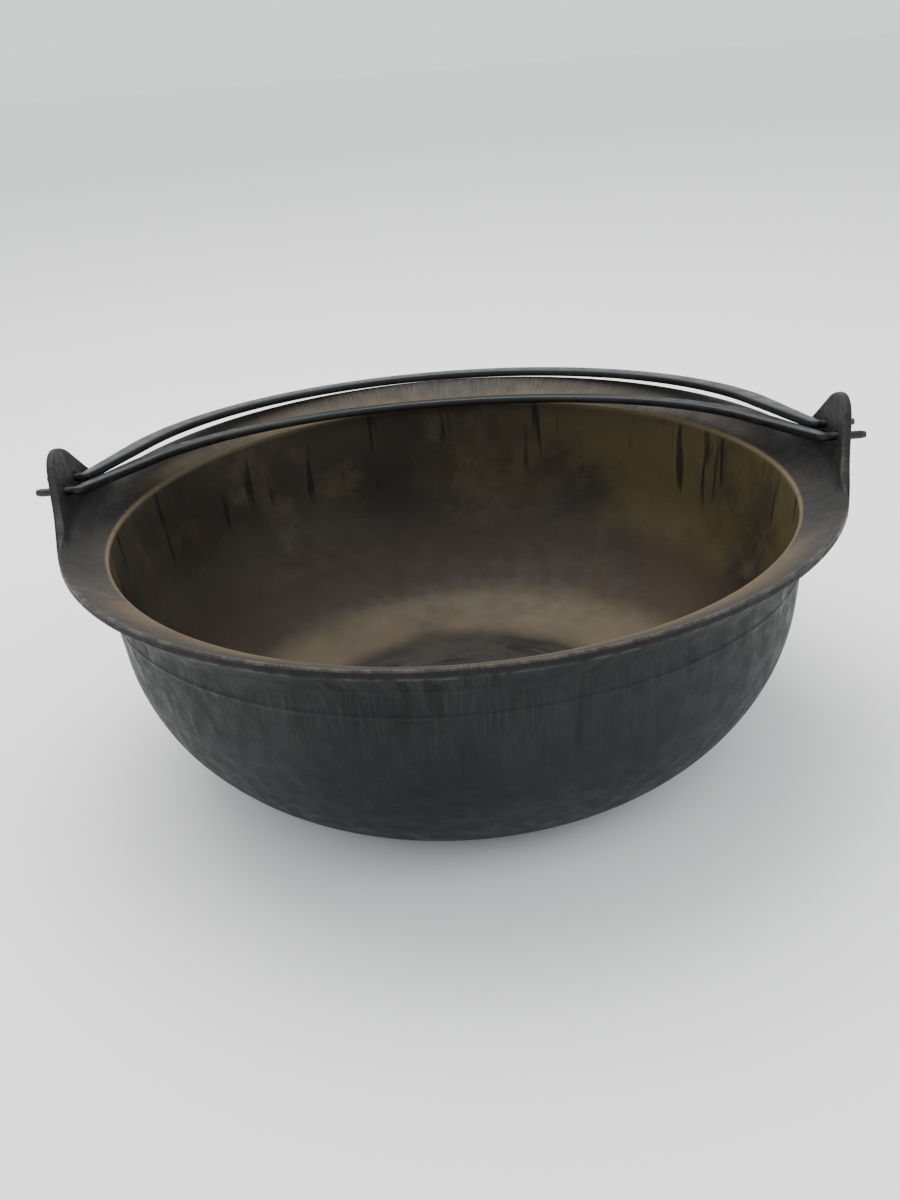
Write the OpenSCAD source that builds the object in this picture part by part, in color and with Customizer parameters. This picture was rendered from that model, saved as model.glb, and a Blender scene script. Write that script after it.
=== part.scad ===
// Wide cast iron cooking pot with a flared lip, two drilled ears and two folding bails.
// Millimetres. The origin is the centre of the base, +Z is up, +X runs along the bail pins
// and +Y points to the side on which both folded bails lie.

/* [Bowl] */
// Inside diameter at the rim, where the wall meets the lip
rim_d = 360; // [320:1:420]
// Height of that inner edge above the table
rim_h = 133; // [125:1:150]
// Outside diameter at the widest height of the rounded lower wall
belly_d = 362; // [350:1:366]
// Radius of the rounded lower wall, outside
belly_r = 100; // [92:1:106]
// Height of the centre of that rounding
belly_z = 97; // [94:1:100]
// Thickness of the lower wall and of the bottom
wall = 4.5; // [3.5:0.1:6]
// Height of the flat floor inside above the table
floor_z = 4.5; // [3.5:0.1:8]
// Distance of the raised casting line below the rim
line_drop = 23; // [18:1:30]
// How far the casting line stands out
line_out = 0.6; // [0.3:0.1:1.2]

/* [Lip] */
// Width of the flared lip, measured outwards from the inner edge
lip_w = 23.5; // [20:0.5:30]
// Rise of the lip from its inner edge to its outer edge
lip_rise = 11.5; // [8:0.5:14]
// Height of the lip's upright outer face
lip_face = 4.9; // [4:0.1:6]
// Rounding of the lip's outer top edge
lip_round = 1.5; // [0.8:0.1:2]
// Thickness of the wall where the underside of the lip runs into it
root_t = 4.6; // [4:0.1:6]
// Distance of that root below the inner edge
root_drop = 9.8; // [8:0.1:13]
// Rounding between the lip's underside and the wall
root_round = 4; // [2:0.5:6]

/* [Ears] */
// Thickness of the ears
ear_t = 4.2; // [3.6:0.1:5]
// Outward lean of the ears in degrees
ear_lean = 10; // [6:0.5:12]
// Radius of the ear's foot where it rises from the lip
ear_foot = 13; // [8:0.5:14]
// Radius of the ear's round top
ear_top_r = 21; // [19:0.5:24]
// Height of the ear's top above the rim's inner edge
ear_top = 46; // [44:0.5:52]
// Radius of the hollow curve from the ear's flank down to the lip
ear_sweep = 55; // [45:1:60]
// Distance between the two holes of an ear
hole_gap = 21.2; // [20.6:0.1:23]
// Height of the holes above the rim's inner edge
hole_h = 26.8; // [26:0.1:29]
// Diameter of the holes
hole_d = 4.8; // [4.7:0.1:6]

/* [Bails] */
// Thickness of the flat bars
bar_t = 4.5; // [4.4:0.1:4.8]
// Width of the bars at the middle of the bow
bar_w = 10; // [8:0.5:11]
// Width of the bars at the pins
bar_end_w = 5.6; // [5:0.1:6.2]
// Clearance between a pin and its hole, all round
pin_clear = 0.3; // [0.2:0.05:0.4]
// Length of a pin beyond the outer face of its ear
pin_out = 11; // [6:0.5:14]
// Free length of the front bail's pins between the bar and the ear
neck_front = 4.9; // [4.5:0.1:6]
// Free length of the rear bail's pins between the bar and the ear
neck_rear = 3.1; // [2.5:0.1:3.4]
// Distance of the front bow's centre beyond its pin axis
bow_front = 5; // [3:0.5:8]
// Distance of the rear bow's centre beyond its pin axis
bow_rear = 12; // [9:0.5:14]
// How far the rear bow's inner edge lies inside the lip's outer face
rear_over = 1.4; // [1:0.1:2]
// Gap left under a bail where it rests on the lip
rest_gap = 0.3; // [0.2:0.05:0.5]

/* [Hidden] */
$fn = 180;
iron = [0.20, 0.21, 0.22];
steel = [0.12, 0.12, 0.14];

rim_r = rim_d / 2;
belly_x = belly_d / 2 - belly_r;
lip_r = rim_r + lip_w;
lip_z = rim_h + lip_rise;
flare = atan2(lip_rise, lip_w);
pin_d = hole_d - 2 * pin_clear;
// How far inside the arc of a bow its straight arms aim
bow_blend = 0.05;
pivot_y = hole_gap / 2;
pivot_z = rim_h + hole_h;

// Top of the rounded outer edge of the lip, on which a long bail comes to rest
lip_top = [lip_r - lip_round,
           lip_z - lip_round * (tan(flare) + 1 / cos(flare)) + lip_round];

// Radius at which the flare meets the inner face of an ear, and that face at any height
ear_in_r = lip_r - lip_round - ear_t / cos(ear_lean) + 0.2;
function ear_in(z) = ear_in_r + (z - lip_z) * tan(ear_lean);
function ear_out(z) = ear_in(z) + ear_t / cos(ear_lean);

// Points at which the line from p touches a circle of radius r around c, on the upper side
function touch_angle(p, c, r) =
    atan2(p[1] - c[1], p[0] - c[0]) + acos(r / norm(p - c));
function touch_up(p, c, r) =
    c + r * [cos(touch_angle(p, c, r)), sin(touch_angle(p, c, r))];
function touch_down_angle(p, c, r) =
    atan2(p[1] - c[1], p[0] - c[0]) - acos(r / norm(p - c));
function touch_down(p, c, r) =
    c + r * [cos(touch_down_angle(p, c, r)), sin(touch_down_angle(p, c, r))];

function unit(v) = v / norm(v);

// The piece that rounds a corner at p between the directions a and b with radius r. It reaches
// past p, so that it shares no edge with the section that it is cut from or joined to.
module corner(p, a, b, r) {
    half = acos(unit(a) * unit(b)) / 2;
    reach = r / tan(half);
    mid = unit(unit(a) + unit(b));
    difference() {
        polygon([p - mid, p + unit(a) * reach, p + mid * r / sin(half), p + unit(b) * reach]);
        translate(p + mid * r / sin(half)) circle(r = r);
    }
}

// Half section of everything inside the outer skin of the bowl
module bowl_outer() {
    c = [belly_x, belly_z];
    root = [rim_r + root_t, rim_h - root_drop];
    t = touch_down(root, c, belly_r);
    square([belly_x, t[1]]);
    intersection() {
        translate(c) circle(r = belly_r);
        translate([belly_x, 0]) square([belly_r + 1, t[1]]);
    }
    polygon([[0, t[1] - 1], [t[0] - 8, t[1] - 1], t, root, [0, root[1]]]);
}

// Half section of the cooking space
module bowl_inner() {
    c = [belly_x, belly_z];
    r = belly_r - wall;
    edge = [rim_r, rim_h];
    t = touch_down(edge, c, r);
    translate([0, floor_z]) square([belly_x, t[1] - floor_z]);
    intersection() {
        translate(c) circle(r = r);
        translate([belly_x, floor_z]) square([r + 1, t[1] - floor_z]);
    }
    polygon([[0, t[1] - 1], [t[0] - 8, t[1] - 1], t, edge, [0, rim_h]]);
    translate([0, rim_h - 0.01]) square([rim_r, lip_rise + 2]);
}

// Half section of the flared lip with its rounded edges
module lip_section() {
    root = [rim_r + root_t, rim_h - root_drop];
    inner = [rim_r, rim_h];
    top = [lip_r, lip_z];
    low = [lip_r, lip_z - lip_face];
    down = [0, -1];
    difference() {
        polygon([[rim_r - 3, rim_h - root_drop], [rim_r - 3, rim_h], inner, top, low, root]);
        corner(top, inner - top, down, lip_round);
        corner(low, -down, root - low, lip_face / 6);
    }
    corner(root, low - root, down, root_round);
}

// Half section of the ear wall: the foot's hollow curve and the leaning plate
module ear_section() {
    up = [sin(ear_lean), cos(ear_lean)];
    out = [cos(flare), sin(flare)];
    // where the flare and the inner face of the ear would meet
    s = ((ear_in(rim_h) - rim_r) * cos(ear_lean)) / sin(90 - flare - ear_lean);
    foot = [rim_r, rim_h] + out * s;
    reach = ear_foot * tan((90 - flare - ear_lean) / 2);
    toe = foot - out * reach;
    hollow = toe + ear_foot * [-sin(flare), cos(flare)];
    high = ear_top + rim_h + 4;
    difference() {
        polygon([toe - [0, lip_round], toe, hollow, foot + up * reach,
                 [ear_in(high), high], [ear_out(high), high],
                 [lip_r, lip_z + (lip_r - ear_out(lip_z)) / tan(ear_lean)],
                 [lip_r, lip_z - lip_round * 2]]);
        translate(hollow) circle(r = ear_foot);
    }
}

// Outline of an ear seen along the pins: y to the right, height above the rim upwards
module ear_outline() {
    d = ear_top_r / sqrt(2);
    hub = ear_top - ear_top_r;
    flank = hub + 2 * d;
    drop = ear_sweep / sqrt(2);
    lo = lip_rise - 0.5 + ear_sweep - drop;
    sweep_y = flank - lo;
    base_y = sweep_y + drop;
    difference() {
        union() {
            translate([0, hub]) circle(r = ear_top_r);
            polygon([[-base_y - 30, 0], [-base_y, lip_rise - 0.5], [-sweep_y, lo],
                     [-d, hub + d], [d, hub + d],
                     [sweep_y, lo], [base_y, lip_rise - 0.5], [base_y + 30, 0]]);
        }
        for (s = [-1, 1])
            translate([s * base_y, lip_rise - 0.5 + ear_sweep]) circle(r = ear_sweep);
    }
}

module ears() {
    intersection() {
        rotate_extrude() ear_section();
        for (a = [0, 180])
            rotate([0, 0, a])
                translate([rim_r * 0.5, 0, rim_h])
                    rotate([90, 0, 90]) linear_extrude(rim_r) ear_outline();
    }
}

module pot() {
    color(iron)
    difference() {
        union() {
            difference() {
                rotate_extrude() union() {
                    bowl_outer();
                    lip_section();
                    translate([rim_r + root_t - 1.6, rim_h - line_drop])
                        circle(r = line_out);
                }
                rotate_extrude() bowl_inner();
            }
            ears();
        }
        for (y = [-pivot_y, pivot_y])
            translate([0, y, pivot_z]) rotate([0, 90, 0])
                cylinder(d = hole_d, h = 3 * lip_r, center = true);
    }
}

// Outline of a bow: straight arms from the ends at x = +-end_x, running into an arc of radius
// r around the point bow above the pin axis. The arms aim bow_blend inside the arc, so that
// they meet it at a real crossing.
module bow_area(end_x, r, bow, low) {
    t = touch_up([end_x, 0], [0, bow], r - bow_blend);
    polygon([[-end_x, low], [-end_x, 0], [-t[0], t[1]], [0, (t[1] + r + bow) / 2], t,
             [end_x, 0], [end_x, low]]);
    intersection() {
        translate([0, bow]) circle(r = r);
        translate([-r - 1, t[1] - 10]) square([2 * r + 2, r + bow]);
    }
}

// A bail lying in its own plane: x along the pins, y outwards from the pin axis
module bail(end_x, reach, bow) {
    mid_x = end_x - bar_end_w / 2;
    tip = ear_out(pivot_z) + pin_out;
    linear_extrude(bar_t, center = true) {
        difference() {
            bow_area(end_x, reach + bar_w / 2 - bow, bow, 0);
            bow_area(end_x - bar_end_w, reach - bar_w / 2 - bow, bow, -bar_w);
        }
        for (s = [-1, 1]) translate([s * mid_x, 0]) circle(d = bar_end_w);
    }
    for (s = [0, 180])
        rotate([0, 0, s]) translate([mid_x, 0, 0]) rotate([0, 90, 0]) {
            cylinder(d = pin_d, h = tip - mid_x - 0.5);
            translate([0, 0, tip - mid_x - 0.5])
                cylinder(d1 = pin_d, d2 = pin_d - 1, h = 0.5);
        }
}

// Angle below the horizontal at which a bail on the pin axis at y comes to rest on point p
function rest_angle(y, p) =
    atan2(pivot_z - p[1], p[0] - y)
    - asin((bar_t / 2 + rest_gap) / norm([p[0] - y, pivot_z - p[1]]));

// The front bail is the shorter one: its bow rests on the inner edge of the lip
front_rest = [rim_r + 0.2, rim_h + 0.2 * tan(flare)];
front_angle = rest_angle(-pivot_y, front_rest);
front_reach = norm([front_rest[0] + pivot_y, pivot_z - front_rest[1]])
              * cos(asin((bar_t / 2 + rest_gap)
                         / norm([front_rest[0] + pivot_y, pivot_z - front_rest[1]])))
              - bar_w / 2;

// The rear bail is the longer one: its bow rests on the outer edge of the lip
rear_angle = rest_angle(pivot_y, lip_top);
rear_reach = (lip_r - rear_over - pivot_y) / cos(rear_angle) + bar_w / 2;

module front_bail() {
    color(steel) translate([0, -pivot_y, pivot_z]) rotate([-front_angle, 0, 0])
        bail(ear_in(pivot_z) - neck_front, front_reach, bow_front);
}

module rear_bail() {
    color(steel) translate([0, pivot_y, pivot_z]) rotate([-rear_angle, 0, 0])
        bail(ear_in(pivot_z) - neck_rear, rear_reach, bow_rear);
}

pot();
front_bail();
rear_bail();
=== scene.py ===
# %% [markdown]
# A wide cast iron pot with a flared lip, two drilled ears and two folding bails.
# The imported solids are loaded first, because every surface made here has to lie where they do.
# All sizes below are in millimetres and are turned into metres when a mesh is made.

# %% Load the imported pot
from math import radians

import bmesh
import bpy
import numpy as np
from mathutils import Matrix, Vector


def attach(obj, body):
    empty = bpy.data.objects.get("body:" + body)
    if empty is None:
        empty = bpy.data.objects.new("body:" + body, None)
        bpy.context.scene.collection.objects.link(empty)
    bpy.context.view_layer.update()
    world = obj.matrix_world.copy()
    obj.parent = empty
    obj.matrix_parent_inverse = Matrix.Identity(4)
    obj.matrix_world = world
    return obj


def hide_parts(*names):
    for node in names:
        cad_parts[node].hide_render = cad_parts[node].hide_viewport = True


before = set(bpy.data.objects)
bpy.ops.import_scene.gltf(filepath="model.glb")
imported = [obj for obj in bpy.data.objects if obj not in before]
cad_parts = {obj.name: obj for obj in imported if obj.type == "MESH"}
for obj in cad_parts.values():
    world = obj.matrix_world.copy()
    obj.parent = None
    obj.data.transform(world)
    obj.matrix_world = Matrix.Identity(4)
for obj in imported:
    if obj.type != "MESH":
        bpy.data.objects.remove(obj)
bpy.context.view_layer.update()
MM = 0.001

# %% [markdown]
# The camera stands a little above the lip and is tipped to one side, as a hand-held one is.
# Its place was worked out from the ellipse of the rim and the holes of the ears.

# %% Camera
eye = Vector((0.01609, -0.64928, 0.38596))
aim = Vector((-0.00476, -0.00015, 0.07674))
tip_angle = radians(-4.697)
camera_data = bpy.data.cameras.new("photo_camera")
camera_data.lens = 39.0
camera_data.sensor_width = 36.0
camera = bpy.data.objects.new("photo_camera", camera_data)
bpy.context.collection.objects.link(camera)
turn = (aim - eye).to_track_quat("-Z", "Y").to_matrix().to_4x4()
camera.matrix_world = Matrix.Translation(eye) @ turn @ Matrix.Rotation(tip_angle, 4, "Z")
bpy.context.scene.camera = camera
print("camera to rim:", round((eye - Vector((0, 0, 0.133))).length, 3), "m")

# %% [markdown]
# The floor is one pale sheet, and the light is a bright room with large soft lamps. Dark iron
# shows its form by what it mirrors, so the lamps are wide and hang where the lip can catch them.

# %% Floor, lamps and room light
def paint(name, colour, rough):
    """A plain matt finish for what isn't part of the object."""
    finish = bpy.data.materials.new(name)
    finish.use_nodes = True
    shader = finish.node_tree.nodes["Principled BSDF"]
    shader.inputs["Base Color"].default_value = (*colour, 1.0)
    shader.inputs["Roughness"].default_value = rough
    return finish


floor_mesh = bpy.data.meshes.new("floor")
side = 6.0
floor_mesh.from_pydata(
    [(-side, -side, 0), (side, -side, 0), (side, side, 0), (-side, side, 0)], [], [(0, 1, 2, 3)]
)
floor = bpy.data.objects.new("floor", floor_mesh)
floor_mesh.materials.append(paint("pale_floor", (0.93, 0.93, 0.925), 0.8))
bpy.context.collection.objects.link(floor)


def lamp(name, place, target, size, power, colour=(1.0, 1.0, 1.0)):
    """A square soft lamp that faces its target."""
    light = bpy.data.lights.new(name, "AREA")
    light.shape = "SQUARE"
    light.size = size
    light.energy = power
    light.color = colour
    holder = bpy.data.objects.new(name, light)
    look = (Vector(target) - Vector(place)).to_track_quat("-Z", "Y").to_matrix().to_4x4()
    holder.matrix_world = Matrix.Translation(Vector(place)) @ look
    bpy.context.collection.objects.link(holder)


lamp("ceiling_lamp", (-0.25, 0.35, 1.5), (0, 0, 0.1), 1.3, 30.0, (1.0, 0.985, 0.96))
lamp("window_lamp", (1.5, -0.5, 0.9), (0, 0, 0.1), 0.9, 7.0, (0.95, 0.98, 1.0))
lamp("fill_lamp", (-1.5, -0.9, 0.7), (0, 0, 0.1), 1.0, 5.0, (0.95, 0.98, 1.0))
room = bpy.data.worlds.new("bright_room")
room.use_nodes = True
room.node_tree.nodes["Background"].inputs["Color"].default_value = (0.96, 0.98, 1.0, 1.0)
room.node_tree.nodes["Background"].inputs["Strength"].default_value = 1.25
bpy.context.scene.world = room
print("lamps:", len(bpy.data.lights))

# %% [markdown]
# The pot is one casting. Its surface is a profile that is carried round the axis: out along the
# base, up the belly, under the lip, over the outer edge, down the flare and into the bowl.
# What makes it more than a turned shape is the outer edge: it rises into an ear on each side.
# So the height of the edge is a function of the angle, and the profile is worked out afresh
# for each column of the grid. That gives one unbroken skin with no seam at the ear's foot.

# %% Sizes of the pot
RIM_R, RIM_H = 180.0, 133.0
BELLY_X, BELLY_Z, BELLY_R, WALL = 81.0, 97.0, 100.0, 4.5
FLOOR_Z = 4.5
LIP_R, LIP_RISE, LIP_FACE, LIP_ROUND = 203.5, 11.5, 4.9, 1.5
ROOT = np.array([184.6, -9.8])
EAR_T, EAR_TOP, EAR_TOP_R, EAR_SWEEP, EAR_FOOT = 4.2, 46.0, 21.0, 55.0, 13.0
LEAN = np.tan(radians(10.0))
HOLE_Y, HOLE_Z, HOLE_R = 10.6, 26.8, 2.4
FLARE = LIP_RISE / (LIP_R - RIM_R)
EAR_IN_R = LIP_R - LIP_ROUND - EAR_T / np.cos(radians(10.0)) + 0.2


def ease(x, low, high):
    """A smooth step from 0 at low to 1 at high."""
    t = np.clip((x - low) / (high - low), 0.0, 1.0)
    return t * t * (3.0 - 2.0 * t)


def flare_z(r):
    """Height of the flared lip over the rim's inner edge at radius r."""
    return (r - RIM_R) * FLARE


def ear_in(z):
    """Radius of the ear's inner face, which leans outwards with height."""
    return EAR_IN_R + (z - LIP_RISE) * LEAN


def ear_out(z, rise):
    """Radius of the outer face: upright at the lip, then leaning with the ear."""
    past = ear_in(z) + EAR_T / np.cos(radians(10.0)) - LIP_R
    return LIP_R + rise * np.log1p(np.exp(1.4 * past)) / 1.4


def edge_height(y):
    """Height of the edge along an ear: round top, straight flanks, hollow sweep to the lip."""
    y = np.abs(y)
    d = EAR_TOP_R / np.sqrt(2.0)
    hub = EAR_TOP - EAR_TOP_R
    low = LIP_RISE - 0.5
    sweep_y = hub + 2 * d - (low + EAR_SWEEP * (1 - 1 / np.sqrt(2.0)))
    base_y = sweep_y + EAR_SWEEP / np.sqrt(2.0)
    cap = hub + np.sqrt(np.maximum(EAR_TOP_R**2 - np.minimum(y, d) ** 2, 0))
    flank = hub + 2 * d - y
    reach = np.clip(base_y - y, 0, EAR_SWEEP)
    sweep = low + EAR_SWEEP - np.sqrt(EAR_SWEEP**2 - reach**2)
    sweep = sweep + 0.5 * ease(y, sweep_y, base_y)
    return np.where(y < d, cap, np.where(y < sweep_y, flank, sweep))


print("ear top over the rim:", edge_height(0.0), "mm; lip:", edge_height(90.0), "mm")

# %% [markdown]
# The columns of the grid stand closer together at the ears, where the shape changes fast and
# the pin holes lie, and wider apart round the rest of the lip. Half a turn is made, because
# the other half is the same one turned round.

# %% Columns of the grid
near = np.arange(-18.0, 17.9, 0.8)
away = np.linspace(18.0, 72.0, 34)
ear_y = np.concatenate([-away[::-1], near[1:], away])
ear_a = np.arcsin(ear_y / 201.0)
rest_a = np.linspace(ear_a[-1], np.pi + ear_a[0], 74)[1:-1]
half_a = np.concatenate([ear_a, rest_a])
HALF = len(half_a)
y_at = np.where(half_a < np.pi / 2, 201.0 * np.sin(half_a), -201.0 * np.sin(np.pi - half_a))
y_at = np.where(np.abs(half_a - np.pi / 2) < 1.1, 90.0, y_at)
edge = edge_height(y_at)
rise = ease(edge, LIP_RISE, 18.0)
z_top = edge - (1.6 - 0.3 * rise)
z_mid = np.minimum(15.0, 7.4 + (z_top - 7.4) * 0.6)
print("columns in half a turn:", HALF)

# %% [markdown]
# Each stretch of the profile is a small array of rows by columns. Straight stretches are
# blends between two points, arcs are angles on a circle, and rounded corners are quadratic
# curves pulled towards the corner.

# %% Stretches of the profile
profile = []


def stretch(part, r, z):
    """Adds rows to the profile. r and z are rows by columns, or rows alone."""
    r = np.asarray(r, float)
    z = np.asarray(z, float)
    if r.ndim == 1:
        r = np.repeat(r[:, None], HALF, axis=1)
    if z.ndim == 1:
        z = np.repeat(z[:, None], HALF, axis=1)
    start = sum(len(rows) for _, rows, _ in profile)
    profile.append((part, r, z))
    return start


def bend(p0, corner, p2, rows, ends=(0.0, 1.0)):
    """Quadratic curve from p0 to p2, pulled towards the corner."""
    t = np.linspace(*ends, rows)[:, None]
    p0, corner, p2 = (np.asarray(p, float)[None, :] for p in (p0, corner, p2))
    return (1 - t) ** 2 * p0 + 2 * t * (1 - t) * corner + t**2 * p2


def touch_angle(p, r):
    """Angle at which the line from p touches the belly's circle of radius r from below."""
    away_x, away_z = p[0] - BELLY_X, p[1] + RIM_H - BELLY_Z
    return np.arctan2(away_z, away_x) - np.arccos(r / np.hypot(away_x, away_z))


def belly(r, start, stop, rows):
    """Arc of the lower wall between two angles, as radius and height over the rim."""
    t = np.linspace(start, stop, rows)
    return BELLY_X + r * np.cos(t), BELLY_Z + r * np.sin(t) - RIM_H


base_r = np.array([14.0, 34.0, 56.0, 76.0, 92.0, 101.0, 104.4])
stretch("outside", base_r, np.full(7, -RIM_H) + np.array([0, 0, 0, 0, 0, 0, 0.05]))
out_touch = touch_angle(ROOT, BELLY_R)
arc_r, arc_z = belly(BELLY_R, -np.arcsin((BELLY_Z - 0.35) / BELLY_R), out_touch, 34)
stretch("outside", arc_r, arc_z)
line_z = np.concatenate(
    [np.linspace(arc_z[-1], -26.0, 10)[1:], np.arange(-25.6, -19.0, 0.4), [-17.5, -15.5]]
)
slope = (ROOT[0] - arc_r[-1]) / (ROOT[1] - arc_z[-1])
line_r = arc_r[-1] + (line_z - arc_z[-1]) * slope
line_r = line_r + 0.55 * np.exp(-(((line_z + 22.8) / 1.1) ** 2))
stretch("outside", line_r, line_z)
low = np.array([LIP_R, LIP_RISE - LIP_FACE])
under = (low - ROOT) / np.linalg.norm(low - ROOT)
root_low = ROOT - np.array([slope, 1.0]) * 3.6
root_bend = bend(root_low, ROOT, ROOT + under * 3.6, 6)
stretch("outside", root_bend[:, 0], root_bend[:, 1])
under_r = np.linspace(ROOT[0] + under[0] * 3.6, LIP_R - 1.3, 8)[1:]
under_z = ROOT[1] + (under_r - ROOT[0]) * under[1] / under[0]
stretch("outside", under_r, under_z)
low_bend = bend([under_r[-1], under_z[-1]], low, low + [0, 0.8], 5)[1:]
stretch("outside", low_bend[:, 0], low_bend[:, 1])

# %% Stretches that rise with the ear
FACE_ROWS = 36
t = np.linspace(0, 1, 6)[1:-1, None]
z = 7.4 + t * (z_mid - 7.4)
stretch("edge", ear_out(z, rise), z)
t = np.linspace(0, 1, FACE_ROWS)[:, None]
face_z = z_mid + t * (z_top - z_mid)
OUT_ROW = stretch("edge", ear_out(face_z, rise), face_z)
out_r, in_r = ear_out(z_top, rise), ear_in(z_top)
t = np.linspace(0, 1, 10)[1:-1, None]
c, s = np.cos(np.pi * t), np.sin(np.pi * t)
cap_r = (out_r + in_r) / 2 + (out_r - in_r) / 2 * np.sign(c) * np.abs(c) ** 0.7
cap_z = z_top + (edge - z_top) * s**0.7
lip_bend = bend([LIP_R, LIP_RISE - 1.6], [LIP_R, LIP_RISE - 0.1], [201.9, flare_z(201.9)], 10)
lip_bend = lip_bend[1:-1]
cap_r = rise * cap_r + (1 - rise) * lip_bend[:, :1]
cap_z = rise * cap_z + (1 - rise) * lip_bend[:, 1:]
stretch("lip", cap_r, cap_z)
t = np.linspace(1, 0, FACE_ROWS)[:, None]
flat_r = 198.5 + t * 3.4
face_z = z_mid + t * (z_top - z_mid)
IN_ROW = stretch(
    "lip",
    rise * ear_in(face_z) + (1 - rise) * flat_r,
    rise * face_z + (1 - rise) * flare_z(flat_r),
)
flare_a = np.arctan(FLARE)
foot_r = RIM_R + (ear_in(0.0) - RIM_R) * np.cos(radians(10)) / np.sin(
    np.pi / 2 - flare_a - radians(10)
) * np.cos(flare_a)
toe_r = foot_r - EAR_FOOT * np.tan((np.pi / 2 - flare_a - radians(10)) / 2) * np.cos(flare_a)
t = np.linspace(0, 1, 12)[1:, None]
mid_r = ear_in(z_mid)
foot_bend_r = (1 - t) ** 2 * mid_r + 2 * t * (1 - t) * foot_r + t**2 * toe_r
foot_bend_z = (
    (1 - t) ** 2 * z_mid + 2 * t * (1 - t) * flare_z(foot_r) + t**2 * flare_z(toe_r)
)
flat_r = 198.5 + t * (toe_r - 198.5)
stretch(
    "lip",
    rise * foot_bend_r + (1 - rise) * flat_r,
    rise * foot_bend_z + (1 - rise) * flare_z(flat_r),
)
down_r = np.linspace(toe_r, RIM_R + 1.4, 10)[1:]
stretch("lip", down_r, flare_z(down_r))

# %% Stretches of the inside
in_touch = touch_angle(np.array([RIM_R, 0.0]), BELLY_R - WALL)
in_r0, in_z0 = belly(BELLY_R - WALL, in_touch, in_touch, 1)
fall = (RIM_R - in_r0[0]) / (0.0 - in_z0[0])
rim_bend = bend(
    [RIM_R + 1.2, flare_z(RIM_R + 1.2)], [RIM_R, 0.0], [RIM_R - 1.2 * fall, -1.2], 5
)
stretch("inside", rim_bend[:, 0], rim_bend[:, 1])
wall_z = np.linspace(-1.2, in_z0[0], 16)[1:]
stretch("inside", RIM_R + wall_z * fall, wall_z)
stop = -np.arcsin((BELLY_Z - FLOOR_Z - 0.25) / (BELLY_R - WALL))
arc_r, arc_z = belly(BELLY_R - WALL, in_touch, stop, 36)
stretch("inside", arc_r[1:], arc_z[1:])
floor_r = np.array([99.0, 90.0, 80.0, 70.0, 60.0, 50.0, 40.0, 30.0, 20.0, 10.0])
stretch("inside", floor_r, np.full(10, FLOOR_Z - RIM_H))

R = np.concatenate([r for _, r, _ in profile])
Z = np.concatenate([z for _, _, z in profile])
PART = np.concatenate([[part] * len(r) for part, r, _ in profile])
ROWS = len(R)
print("profile rows:", ROWS)

# %% [markdown]
# The pins need real holes. Round each hole the grid is warped, so that a square block of it
# becomes a circle, the block's faces are left out, and a short tube joins the two sides.

# %% Warp the grid round the holes
X, Y = R * np.cos(half_a), R * np.sin(half_a)
BLOCK, SPREAD, STEP = 4, 10, 0.84
holes = []
for hole_y in (-HOLE_Y, HOLE_Y):
    j0 = int(np.argmin(np.abs(ear_y - hole_y)))
    k0 = int(np.argmin(np.abs(Z[OUT_ROW : OUT_ROW + FACE_ROWS, j0] - HOLE_Z)))
    dk = np.arange(FACE_ROWS)[:, None] - k0
    dj = np.arange(HALF)[None, :] - j0
    ring = np.maximum(np.abs(dk), np.abs(dj))
    angle = np.arctan2(dk, dj)
    radius = HOLE_R + 0.4 + (ring - BLOCK) * STEP
    radius = np.where(ring < BLOCK, (HOLE_R + 0.4) * ring / BLOCK, radius)
    pull = 1 - ease(ring, BLOCK, SPREAD)
    for first, order, face in (
        (OUT_ROW, slice(None), lambda z: ear_out(z, 1.0)),
        (IN_ROW, slice(None, None, -1), ear_in),
    ):
        rows = np.arange(first, first + FACE_ROWS)[order]
        y_new = pull * (hole_y + radius * np.cos(angle)) + (1 - pull) * Y[rows]
        z_new = pull * (HOLE_Z + radius * np.sin(angle)) + (1 - pull) * Z[rows]
        x_new = np.sqrt(np.maximum(face(z_new) ** 2 - y_new**2, 1.0))
        X[rows] = np.where(pull > 0, x_new, X[rows])
        Y[rows] = np.where(pull > 0, y_new, Y[rows])
        Z[rows] = np.where(pull > 0, z_new, Z[rows])
    holes.append((hole_y, j0, k0))
print("holes at columns", [j for _, j, _ in holes], "rows", [k for _, _, k in holes])

# %% [markdown]
# The two halves are joined, and the casting gets the slight waves of a sand mould. The waves
# only ever go inwards on the outside, so the pot stays within the size of its solid.

# %% Whole turn, waves and faces
COLS = 2 * HALF
points = np.stack(
    [np.concatenate([X, -X], 1), np.concatenate([Y, -Y], 1), np.concatenate([Z, Z], 1)], -1
)
angle = np.arctan2(points[..., 1], points[..., 0])
height = points[..., 2]
wave = (
    np.sin(3 * angle + 0.7)
    + 0.7 * np.sin(7 * angle + height / 23.0)
    + 0.5 * np.sin(13 * angle - height / 11.0 + 1.3)
)
outer = (PART == "outside")[:, None] * ease(height, -125.0, -100.0) * ease(-height, 9.0, 16.0)
shift = 0.13 * (wave - 2.2) * outer
inner = (PART == "inside")[:, None] * ease(height, -125.0, -100.0) * ease(-height, 2.0, 12.0)
shift = shift + 0.16 * wave * inner
points[..., 0] += shift * np.cos(angle)
points[..., 1] += shift * np.sin(angle)
index = np.arange(ROWS * COLS).reshape(ROWS, COLS)
beside = np.roll(index, -1, axis=1)
quads = np.stack([index[:-1], beside[:-1], beside[1:], index[1:]], -1)
keep = np.ones(quads.shape[:2], bool)
verts = [points.reshape(-1, 3)]
count = ROWS * COLS
tubes = []
steps = np.arange(-BLOCK, BLOCK)
edge_k = np.concatenate([steps * 0 - BLOCK, steps, steps * 0 + BLOCK, -steps])
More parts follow.
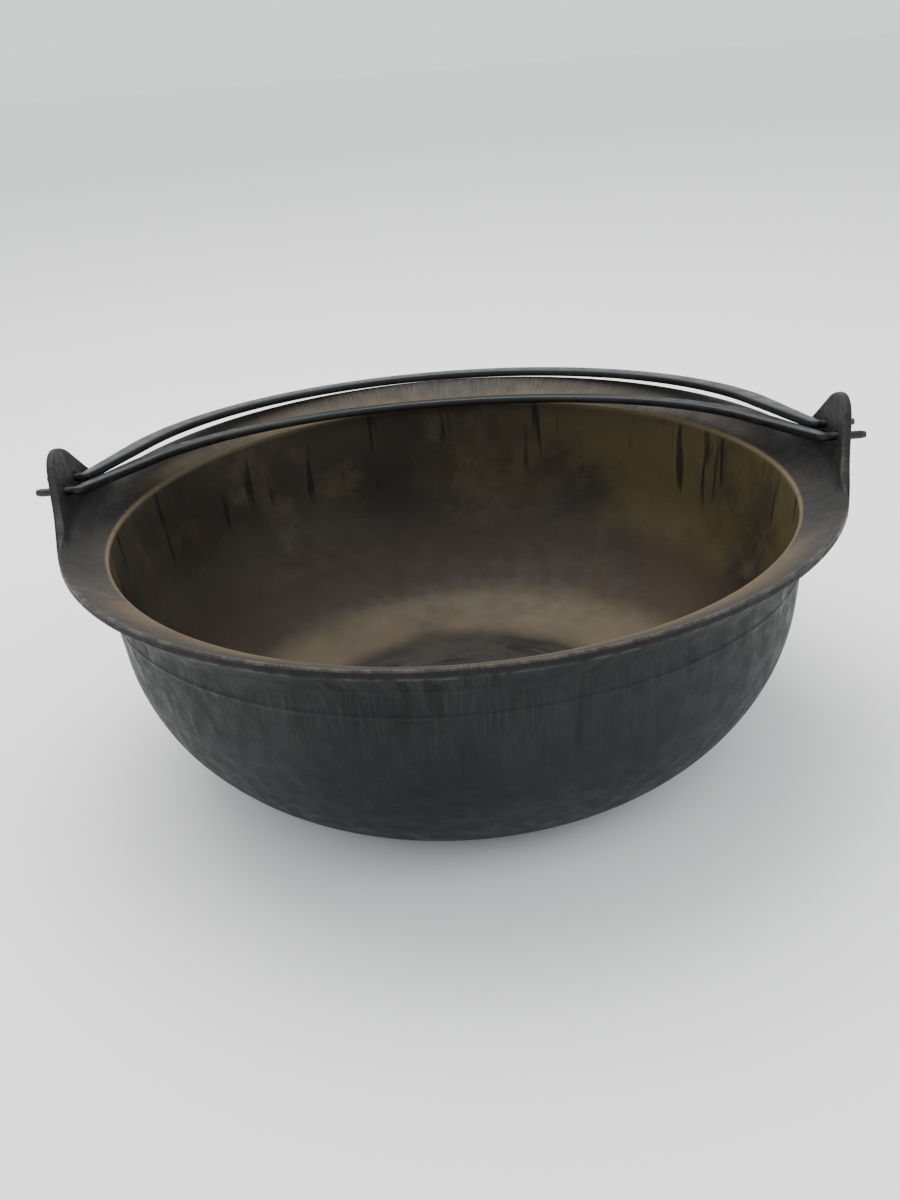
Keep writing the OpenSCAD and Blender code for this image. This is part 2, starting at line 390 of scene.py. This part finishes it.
edge_j = np.concatenate([steps, steps * 0 + BLOCK, -steps, steps * 0 - BLOCK])
for turn_sign, column in ((1.0, 0), (-1.0, HALF)):
    for hole_y, j0, k0 in holes:
        first = OUT_ROW + k0 - BLOCK
        keep[first : first + 2 * BLOCK, column + j0 - BLOCK : column + j0 + BLOCK] = False
        first = IN_ROW + FACE_ROWS - 1 - k0 - BLOCK
        keep[first : first + 2 * BLOCK, column + j0 - BLOCK : column + j0 + BLOCK] = False
        outer_ring = index[OUT_ROW + k0 + edge_k, column + j0 + edge_j]
        inner_ring = index[IN_ROW + FACE_ROWS - 1 - k0 - edge_k, column + j0 + edge_j]
        flat = points.reshape(-1, 3)
        middle = []
        for ring_ids, inward in ((outer_ring, -0.5), (inner_ring, 0.5)):
            place = flat[ring_ids].copy()
            away_y = place[:, 1] - turn_sign * hole_y
            away_z = place[:, 2] - HOLE_Z
            size = np.hypot(away_y, away_z)
            place[:, 1] = turn_sign * hole_y + away_y / size * HOLE_R
            place[:, 2] = HOLE_Z + away_z / size * HOLE_R
            place[:, 0] += turn_sign * inward
            middle.append(np.arange(count, count + len(place)))
            verts.append(place)
            count += len(place)
        for a, b in ((outer_ring, middle[0]), (middle[0], middle[1]), (middle[1], inner_ring)):
            tubes.append(np.stack([a, np.roll(a, -1), np.roll(b, -1), b], -1))
verts.append(np.array([[0.0, 0.0, -RIM_H], [0.0, 0.0, FLOOR_Z - RIM_H]]))
poles = (count, count + 1)
all_verts = np.concatenate(verts)
all_verts[:, 2] += RIM_H
bottom_fan = np.stack([np.full(COLS, poles[0]), beside[0], index[0]], -1)
top_fan = np.stack([np.full(COLS, poles[1]), index[-1], beside[-1]], -1)
slot_of = {"outside": 0, "edge": 0, "lip": 1, "inside": 2}
row_slot = np.array([slot_of[p] for p in PART[1:]])
quad_slot = np.repeat(row_slot[:, None], COLS, 1)[keep]
quad_faces = quads[keep]
tube_faces = np.concatenate(tubes)
print("pot faces:", len(quad_faces) + len(tube_faces) + 2 * COLS)


# %% Make a mesh from arrays
def build(name, points_mm, faces, slots=None, materials=()):
    """A mesh object in metres, closed, with its faces turned outwards and shaded smooth."""
    mesh = bpy.data.meshes.new(name)
    mesh.from_pydata((points_mm * MM).tolist(), [], faces)
    for finish in materials:
        mesh.materials.append(finish)
    if slots is not None:
        mesh.polygons.foreach_set("material_index", np.asarray(slots, np.int32))
    work = bmesh.new()
    work.from_mesh(mesh)
    bmesh.ops.recalc_face_normals(work, faces=work.faces)
    work.to_mesh(mesh)
    work.free()
    mesh.polygons.foreach_set("use_smooth", np.ones(len(mesh.polygons), bool))
    mesh.update()
    piece = bpy.data.objects.new(name, mesh)
    bpy.context.collection.objects.link(piece)
    return piece


# %% [markdown]
# Finishes are built from node groups that several of them share. A group takes the point on
# the object and a few numbers, and gives back masks and heights that change over the surface.
# A small helper adds a node and fills its sockets from values or from other nodes.

# %% Helpers for finishes
def add(tree, kind, inputs=None, **settings):
    """Adds a node; each input is a value or another node's output."""
    node = tree.nodes.new(kind)
    for key, value in settings.items():
        setattr(node, key, value)
    for key, value in (inputs or {}).items():
        if isinstance(value, bpy.types.NodeSocket):
            tree.links.new(value, node.inputs[key])
        else:
            node.inputs[key].default_value = value
    return node


def sums(tree, operation, a, b=0.0):
    """One Math node."""
    return add(tree, "ShaderNodeMath", {0: a, 1: b}, operation=operation).outputs[0]


def spread(tree, value, low, high, to_low=0.0, to_high=1.0):
    """A smooth step of a value between two limits."""
    node = add(
        tree,
        "ShaderNodeMapRange",
        {0: value, 1: low, 2: high, 3: to_low, 4: to_high},
        interpolation_type="SMOOTHSTEP",
    )
    return node.outputs[0]


def mixed(tree, factor, a, b):
    """Colour a turning into colour b."""
    node = add(tree, "ShaderNodeMix", data_type="RGBA")
    for key, value in ((0, factor), (6, a), (7, b)):
        if isinstance(value, bpy.types.NodeSocket):
            tree.links.new(value, node.inputs[key])
        elif key == 0:
            node.inputs[key].default_value = value
        else:
            node.inputs[key].default_value = (*value, 1.0)
    return node.outputs[2]


def group(name, numbers, outputs):
    """A node group that takes a point and some numbers."""
    tree = bpy.data.node_groups.new(name, "ShaderNodeTree")
    tree.interface.new_socket("Point", in_out="INPUT", socket_type="NodeSocketVector")
    for key, value in numbers.items():
        sock = tree.interface.new_socket(key, in_out="INPUT", socket_type="NodeSocketFloat")
        sock.default_value = value
    for key in outputs:
        tree.interface.new_socket(key, in_out="OUTPUT", socket_type="NodeSocketFloat")
    return tree, tree.nodes.new("NodeGroupInput"), tree.nodes.new("NodeGroupOutput")


def noise(tree, point, scale, detail=3.0, rough=0.55):
    """Soft cloud noise from 0 to 1."""
    return add(
        tree,
        "ShaderNodeTexNoise",
        {"Vector": point, "Scale": scale, "Detail": detail, "Roughness": rough},
    ).outputs["Fac"]


# %% [markdown]
# Sand-cast iron has a fine grain with a few larger pimples. Brushing leaves fine lines that run
# round the pot or down its wall. Seasoning dries in vertical runs.

# %% Shared groups: cast grain, runs and polar position
grain, g_in, g_out = group("cast_grain", {"Size": 900.0, "Pimples": 0.3}, ("Height", "Mottle"))
fine = noise(grain, g_in.outputs["Point"], g_in.outputs["Size"], 4.0, 0.6)
broad_size = sums(grain, "MULTIPLY", g_in.outputs["Size"], 0.16)
broad = noise(grain, g_in.outputs["Point"], broad_size, 3.0)
cells = add(
    grain,
    "ShaderNodeTexVoronoi",
    {"Vector": g_in.outputs["Point"], "Scale": sums(grain, "MULTIPLY", g_in.outputs["Size"], 0.2)},
).outputs["Distance"]
pimple = spread(grain, cells, 0.28, 0.08)
pimple = sums(grain, "MULTIPLY", pimple, g_in.outputs["Pimples"])
total = sums(grain, "ADD", sums(grain, "MULTIPLY", fine, 0.5), sums(grain, "MULTIPLY", broad, 0.8))
grain.links.new(sums(grain, "ADD", total, pimple), g_out.inputs["Height"])
grain.links.new(broad, g_out.inputs["Mottle"])

polar, p_in, p_out = group("polar_place", {}, ("Radius", "Height", "Side", "Turn"))
split = add(polar, "ShaderNodeSeparateXYZ", {0: p_in.outputs["Point"]})
px, py, pz = split.outputs
rr = sums(polar, "SQRT", sums(polar, "ADD", sums(polar, "MULTIPLY", px, px),
                              sums(polar, "MULTIPLY", py, py)))
polar.links.new(sums(polar, "MULTIPLY", rr, 1000.0), p_out.inputs["Radius"])
polar.links.new(sums(polar, "MULTIPLY", pz, 1000.0), p_out.inputs["Height"])
polar.links.new(sums(polar, "DIVIDE", px, sums(polar, "MAXIMUM", rr, 0.001)), p_out.inputs["Side"])
polar.links.new(sums(polar, "ARCTAN2", py, px), p_out.inputs["Turn"])

runs, r_in, r_out = group("vertical_runs", {"Count": 24.0, "Sharp": 0.62}, ("Run", "Streak"))
place = add(runs, "ShaderNodeGroup", {"Point": r_in.outputs["Point"]}, node_tree=polar)
lane = add(
    runs,
    "ShaderNodeCombineXYZ",
    {
        0: sums(runs, "MULTIPLY", place.outputs["Turn"], r_in.outputs["Count"]),
        1: sums(runs, "MULTIPLY", place.outputs["Height"], 0.013),
        2: 0.0,
    },
).outputs[0]
wet = noise(runs, lane, 1.0, 2.0)
runs.links.new(
    spread(runs, wet, r_in.outputs["Sharp"], sums(runs, "ADD", r_in.outputs["Sharp"], 0.09)),
    r_out.inputs["Run"],
)
fine_lane = add(
    runs,
    "ShaderNodeCombineXYZ",
    {
        0: sums(runs, "MULTIPLY", place.outputs["Turn"], 150.0),
        1: sums(runs, "MULTIPLY", place.outputs["Height"], 0.05),
        2: 3.0,
    },
).outputs[0]
runs.links.new(noise(runs, fine_lane, 1.0, 3.0), r_out.inputs["Streak"])
print("groups:", [g.name for g in bpy.data.node_groups])


# %% Start a finish
def start(name, sheen):
    """A material with its shader, the point on the object, and its polar place."""
    finish = bpy.data.materials.new(name)
    finish.use_nodes = True
    tree = finish.node_tree
    shader = tree.nodes["Principled BSDF"]
    shader.inputs["Specular IOR Level"].default_value = sheen
    point = add(tree, "ShaderNodeTexCoord").outputs["Object"]
    where = add(tree, "ShaderNodeGroup", {"Point": point}, node_tree=polar)
    return finish, tree, shader, point, where


def bumped(tree, shader, height, distance, strength=1.0):
    """Feeds a height to the shader's normal."""
    node = add(
        tree, "ShaderNodeBump", {"Strength": strength, "Distance": distance, "Height": height}
    )
    tree.links.new(node.outputs["Normal"], shader.inputs["Normal"])


# %% [markdown]
# The outside is seasoned black-green iron, with dried runs under the lip and fine upright
# streaks. The edge of the lip is worn to grey on its corners.

# %% Finish of the outside
outside, tree, shader, point, where = start("seasoned_outside", 0.13)
skin = add(tree, "ShaderNodeGroup", {"Point": point, "Size": 700.0, "Pimples": 0.25},
           node_tree=grain)
drips = add(tree, "ShaderNodeGroup", {"Point": point, "Count": 26.0, "Sharp": 0.56},
            node_tree=runs)
cloud = noise(tree, point, 9.0, 4.0)
colour = mixed(tree, spread(tree, cloud, 0.35, 0.7), (0.0085, 0.0105, 0.0105), (0.0165, 0.0195, 0.0190))
high = spread(tree, where.outputs["Height"], 60.0, 118.0)
streak = sums(tree, "MULTIPLY", spread(tree, drips.outputs["Streak"], 0.45, 0.7), high)
streak = sums(tree, "MULTIPLY", streak, 0.55)
colour = mixed(tree, streak, colour, (0.030, 0.031, 0.028))
drip = sums(tree, "MULTIPLY", drips.outputs["Run"], high)
colour = mixed(tree, sums(tree, "MULTIPLY", drip, 0.6), colour, (0.0035, 0.0040, 0.0040))
face = spread(tree, where.outputs["Height"], 138.6, 139.8)
rub = spread(tree, noise(tree, point, 160.0, 4.0), 0.4, 0.65)
colour = mixed(tree, sums(tree, "MULTIPLY", face, 0.8), colour, (0.0110, 0.0090, 0.0100))
corner = sums(
    tree,
    "MULTIPLY",
    spread(tree, where.outputs["Height"], 137.6, 139.2),
    spread(tree, where.outputs["Height"], 141.0, 139.4),
)
colour = mixed(tree, sums(tree, "MULTIPLY", sums(tree, "MULTIPLY", corner, rub), 0.5),
               colour, (0.075, 0.068, 0.060))
tree.links.new(colour, shader.inputs["Base Color"])
rough = spread(tree, skin.outputs["Mottle"], 0.3, 0.7, 0.50, 0.68)
rough = sums(tree, "SUBTRACT", rough, sums(tree, "MULTIPLY", drip, 0.14))
tree.links.new(rough, shader.inputs["Roughness"])
bumped(tree, shader, skin.outputs["Height"], 0.0007, 0.55)

# %% [markdown]
# The lip's upper face is rubbed bare near the bowl, where it shows golden brown, with a painted
# highlight along its inner edge, and it turns to black and grey at the ears. Brush marks run outwards.

# %% Finish of the lip
lip, tree, shader, point, where = start("rubbed_lip", 0.15)
skin = add(tree, "ShaderNodeGroup", {"Point": point, "Size": 620.0, "Pimples": 0.45},
           node_tree=grain)
brush = add(tree, "ShaderNodeGroup", {"Point": point, "Count": 30.0, "Sharp": 0.6},
            node_tree=runs).outputs["Streak"]
ear = spread(tree, sums(tree, "ABSOLUTE", where.outputs["Side"]), 0.86, 0.975)
cloud = noise(tree, point, 14.0, 4.0)
near_bowl = spread(tree, where.outputs["Radius"], 200.0, 181.0)
gold = sums(tree, "MULTIPLY", near_bowl, spread(tree, cloud, 0.3, 0.62))
colour = mixed(tree, spread(tree, brush, 0.35, 0.7), (0.0190, 0.0172, 0.0150), (0.0440, 0.0385, 0.0310))
colour = mixed(tree, sums(tree, "MULTIPLY", gold, 0.85), colour, (0.098, 0.070, 0.036))
colour = mixed(tree, sums(tree, "MULTIPLY", ear, 0.85), colour, (0.0085, 0.0085, 0.0088))
# Painted highlight: a bright tan line along the lip's inner edge.
inner_edge_highlight = spread(tree, where.outputs["Radius"], 182.6, 180.6)
colour = mixed(tree, sums(tree, "MULTIPLY", inner_edge_highlight, 0.5), colour, (0.170, 0.125, 0.066))
worn = spread(tree, noise(tree, point, 120.0, 4.0), 0.45, 0.62)
outer_line = spread(tree, where.outputs["Radius"], 201.0, 202.6)
outer_line = sums(tree, "MULTIPLY", outer_line, sums(tree, "SUBTRACT", 1.0, ear))
outer_line = sums(tree, "MULTIPLY", outer_line, worn)
colour = mixed(tree, sums(tree, "MULTIPLY", outer_line, 0.6), colour, (0.075, 0.068, 0.055))
tree.links.new(colour, shader.inputs["Base Color"])
tree.links.new(spread(tree, skin.outputs["Mottle"], 0.3, 0.7, 0.40, 0.58),
               shader.inputs["Roughness"])
bumped(tree, shader, sums(tree, "ADD", skin.outputs["Height"], brush), 0.0006, 0.5)

# %% [markdown]
# Inside, painted light makes the wall lighter, olive and gold, on the right and darker grey-brown
# on the left, and the wall is reddish lower down. Where the wall meets the floor, spoons have rubbed
# a pale tan ring. The floor is mottled grey with dark bluish rings. Thin dark drips hang from the rim
# at the rear.

# %% Finish of the inside
inside, tree, shader, point, where = start("used_inside", 0.25)
skin = add(tree, "ShaderNodeGroup", {"Point": point, "Size": 520.0, "Pimples": 0.05},
           node_tree=grain)
drips = add(tree, "ShaderNodeGroup", {"Point": point, "Count": 19.0, "Sharp": 0.60},
            node_tree=runs)
cloud = noise(tree, point, 11.0, 5.0, 0.6)
patch = noise(tree, point, 26.0, 5.0, 0.62)
# Painted light: the right side of the inner wall is lighter and more golden, the left darker
# grey-brown.
painted_light_right = spread(tree, where.outputs["Side"], -0.35, 0.75)
wall = mixed(tree, painted_light_right, (0.0300, 0.0250, 0.0165), (0.0560, 0.0430, 0.0170))
wall = mixed(tree, spread(tree, cloud, 0.4, 0.68), wall, (0.0170, 0.0145, 0.0105))
wall = mixed(tree, sums(tree, "MULTIPLY", spread(tree, patch, 0.52, 0.7), 0.5), wall,
             (0.070, 0.052, 0.026))
level = sums(tree, "ADD", where.outputs["Height"], sums(tree, "MULTIPLY", cloud, 16.0))
red = sums(tree, "MULTIPLY", spread(tree, level, 74.0, 54.0), spread(tree, level, 22.0, 34.0))
wall = mixed(tree, sums(tree, "MULTIPLY", red, 0.75), wall, (0.024, 0.0135, 0.0085))
reach = sums(tree, "ADD", where.outputs["Radius"], sums(tree, "MULTIPLY", patch, 22.0))
ring = sums(tree, "MULTIPLY", spread(tree, reach, 154.0, 136.0), spread(tree, reach, 100.0, 120.0))
ring = sums(tree, "MULTIPLY", ring, spread(tree, cloud, 0.28, 0.6))
base = mixed(tree, spread(tree, patch, 0.35, 0.68), (0.0290, 0.0245, 0.0205), (0.0100, 0.0098, 0.0105))
swirl_point = add(
    tree,
    "ShaderNodeCombineXYZ",
    {
        0: sums(tree, "MULTIPLY", where.outputs["Radius"], 0.11),
        1: sums(tree, "MULTIPLY", where.outputs["Turn"], 1.4),
        2: 0.0,
    },
).outputs[0]
swirl = spread(tree, noise(tree, swirl_point, 1.0, 4.0), 0.52, 0.68)
base = mixed(tree, sums(tree, "MULTIPLY", swirl, 0.8), base, (0.0048, 0.0052, 0.0072))
on_floor = spread(tree, where.outputs["Radius"], 124.0, 96.0)
colour = mixed(tree, on_floor, wall, base)
colour = mixed(tree, sums(tree, "MULTIPLY", ring, 0.8), colour, (0.090, 0.068, 0.041))
drip = sums(tree, "MULTIPLY", drips.outputs["Run"], spread(tree, where.outputs["Height"], 76.0, 96.0))
colour = mixed(tree, sums(tree, "MULTIPLY", drip, 0.85), colour, (0.0030, 0.0026, 0.0022))
# Painted highlight: the same bright line along the top of the inner wall, just under the rim.
inner_edge_highlight = spread(tree, where.outputs["Height"], 130.6, 132.8)
colour = mixed(tree, sums(tree, "MULTIPLY", inner_edge_highlight, 0.45), colour, (0.150, 0.108, 0.056))
tree.links.new(colour, shader.inputs["Base Color"])
rough = spread(tree, skin.outputs["Mottle"], 0.3, 0.7, 0.52, 0.64)
rough = sums(tree, "SUBTRACT", rough, sums(tree, "MULTIPLY", swirl, 0.08))
tree.links.new(rough, shader.inputs["Roughness"])
bumped(tree, shader, skin.outputs["Height"], 0.0006, 0.35)

# %% Make the pot
faces = quad_faces.tolist() + tube_faces.tolist() + bottom_fan.tolist() + top_fan.tolist()
slots = np.concatenate(
    [quad_slot, np.ones(len(tube_faces), int), np.zeros(COLS, int), np.full(COLS, 2)]
)
pot = build("pot_casting", all_verts, faces, slots, (outside, lip, inside))
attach(pot, "pot")
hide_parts("pot")
print("pot vertices:", len(pot.data.vertices))

# %% [markdown]
# A bail is one forged bar. A smith bends it cold, so its section changes along its length:
# round at the pins, then flat, and widest at the middle of the bow. The surface is that
# section carried along the bar's middle line, which is straight at the pins, turns a tight
# elbow, runs up a straight arm and then follows an arc.

# %% Sizes of the bails
PIVOT_Z = RIM_H + HOLE_Z
PIN_R, BAR_T, BAR_W, BAR_END = 2.1, 4.5, 10.0, 5.6
PIN_TIP = ear_in(HOLE_Z) + EAR_T / np.cos(radians(10.0)) + 11.0
REST_GAP = 0.3


def rest_angle(y, p):
    """Angle below the level at which a bail on the pins at y lies on the point p."""
    far = np.hypot(p[0] - y, PIVOT_Z - p[1])
    return np.arctan2(PIVOT_Z - p[1], p[0] - y) - np.arcsin((BAR_T / 2 + REST_GAP) / far)


front_spot = (RIM_R + 0.2, RIM_H + flare_z(RIM_R + 0.2))
front_angle = rest_angle(-HOLE_Y, front_spot)
front_far = np.hypot(front_spot[0] + HOLE_Y, PIVOT_Z - front_spot[1])
front_reach = np.sqrt(front_far**2 - (BAR_T / 2 + REST_GAP) ** 2) - BAR_W / 2
lip_top = RIM_H + LIP_RISE - LIP_ROUND * (FLARE + np.sqrt(1 + FLARE**2)) + LIP_ROUND
rear_angle = rest_angle(HOLE_Y, (LIP_R - LIP_ROUND, lip_top))
rear_reach = (LIP_R - 1.4 - HOLE_Y) / np.cos(rear_angle) + BAR_W / 2
print("rest angles:", np.degrees([front_angle, rear_angle]).round(2))


# %% Carry a section along a bail's middle line
def middle_line(end_x, reach, bow):
    """Half of the bar's middle line from a pin's tip to the middle of the bow."""
    mid_x = end_x - BAR_END / 2
    rho = reach - bow
    far = np.hypot(mid_x, bow)
    g = np.arctan2(-bow, mid_x) + np.arccos(rho / far)
    tip = np.array([PIN_TIP - 0.4, 0.0])
    corner = np.array([mid_x, 0.0])
    arm_end = np.array([rho * np.cos(g), bow + rho * np.sin(g)])
    arm = (arm_end - corner) / np.linalg.norm(arm_end - corner)
    t = np.linspace(0, 1, 9)[:, None]
    pin = tip + t * (corner + [3.2, 0.0] - tip)
    t = np.linspace(0, 1, 9)[1:, None]
    elbow = (1 - t) ** 2 * pin[-1] + 2 * t * (1 - t) * corner + t**2 * (corner + 3.2 * arm)
    t = np.linspace(0, 1, 20)[1:, None]
    straight = elbow[-1] + t * (arm_end - elbow[-1])
    a = np.linspace(g, np.pi / 2, 90)[1:]
    arc = np.stack([rho * np.cos(a), bow + rho * np.sin(a)], 1)
    return np.concatenate([pin, elbow, straight, arc]), mid_x, arm_end[1]


def bail(name, pivot_y, end_x, reach, bow, angle):
    """The bar's skin: a section that goes from round to flat, square to the middle line."""
    half, mid_x, arm_u = middle_line(end_x, reach, bow)
    line = np.concatenate([half, half[-2::-1] * [-1, 1]])
    along = np.gradient(line, axis=0)
    along /= np.linalg.norm(along, axis=1)[:, None]
    across = np.stack([-along[:, 1], along[:, 0]], 1)
    x, u = np.abs(line[:, 0]), line[:, 1]
    flat = ease(mid_x + 4.0 - x, 0.0, 5.0)
    wide = BAR_END / 2 + (BAR_W - BAR_END) / 2 * np.clip(u / arm_u, 0, 1)
    wide = PIN_R + flat * (wide - PIN_R)
    thick = PIN_R + flat * (BAR_T / 2 - PIN_R)
    power = 2.0 / (2.0 + 4.5 * flat)
    taper = ease(PIN_TIP - x, 0.2, 1.0) * 0.3 + 0.7
    turn = np.linspace(0, 2 * np.pi, 28, endpoint=False)[None, :]
    c, s = np.cos(turn), np.sin(turn)
    side_way = np.sign(c) * np.abs(c) ** power[:, None] * (wide * taper)[:, None]
    up_way = np.sign(s) * np.abs(s) ** power[:, None] * (thick * taper)[:, None]
    px = line[:, :1] + across[:, :1] * side_way
    pu = line[:, 1:] + across[:, 1:] * side_way
    down = -angle
    skin = np.stack(
        [
            px,
            pivot_y + pu * np.cos(down) - up_way * np.sin(down),
            PIVOT_Z + pu * np.sin(down) + up_way * np.cos(down),
        ],
        -1,
    )
    n, m = px.shape
    ids = np.arange(n * m).reshape(n, m)
    nxt = np.roll(ids, -1, axis=1)
    quads = np.stack([ids[:-1], nxt[:-1], nxt[1:], ids[1:]], -1).reshape(-1, 4)
    tips = np.array([[PIN_TIP, pivot_y, PIVOT_Z], [-PIN_TIP, pivot_y, PIVOT_Z]])
    first = np.stack([np.full(m, n * m), nxt[0], ids[0]], -1)
    last = np.stack([np.full(m, n * m + 1), ids[-1], nxt[-1]], -1)
    faces = quads.tolist() + first.tolist() + last.tolist()
    return build(name, np.concatenate([skin.reshape(-1, 3), tips]), faces, None, (black,))


# %% [markdown]
# The bails are black, half glossy from handling, with forge scale under the black. At the elbows
# and pins a lighter grey is painted in as the highlight of the bends, and the finish is a little
# metallic there.

# %% Finish of the bails
black, tree, shader, point, where = start("blackened_steel", 0.36)
skin = add(tree, "ShaderNodeGroup", {"Point": point, "Size": 800.0, "Pimples": 0.1},
           node_tree=grain)
cloud = noise(tree, point, 30.0, 4.0)
colour = mixed(tree, spread(tree, cloud, 0.4, 0.7), (0.0035, 0.0035, 0.0040), (0.0075, 0.0075, 0.0085))
out_x = add(tree, "ShaderNodeSeparateXYZ", {0: point}).outputs[0]
out_x = sums(tree, "ABSOLUTE", out_x)
# Painted highlight: a lighter grey over the elbows and pins. The same mask adds a little metal.
painted_highlight_and_metal = sums(tree, "MULTIPLY", spread(tree, out_x, 0.190, 0.1955),
            spread(tree, noise(tree, point, 240.0, 3.0), 0.42, 0.6))
colour = mixed(tree, sums(tree, "MULTIPLY", painted_highlight_and_metal, 0.35), colour, (0.060, 0.058, 0.056))
tree.links.new(colour, shader.inputs["Base Color"])
tree.links.new(sums(tree, "MULTIPLY", painted_highlight_and_metal, 0.3), shader.inputs["Metallic"])
tree.links.new(spread(tree, skin.outputs["Mottle"], 0.3, 0.7, 0.30, 0.46),
               shader.inputs["Roughness"])
bumped(tree, shader, skin.outputs["Height"], 0.0003, 0.4)

# %% Make the bails
bails = (
    ("front_bail", -HOLE_Y, ear_in(HOLE_Z) - 4.9, front_reach, 5.0, front_angle),
    ("rear_bail", HOLE_Y, ear_in(HOLE_Z) - 3.1, rear_reach, 12.0, rear_angle),
)
for name, pivot_y, end_x, reach, bow, angle in bails:
    piece = bail(name + "_bar", pivot_y, end_x, reach, bow, angle)
    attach(piece, name)
    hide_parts(name)
    print(name, "vertices:", len(piece.data.vertices))
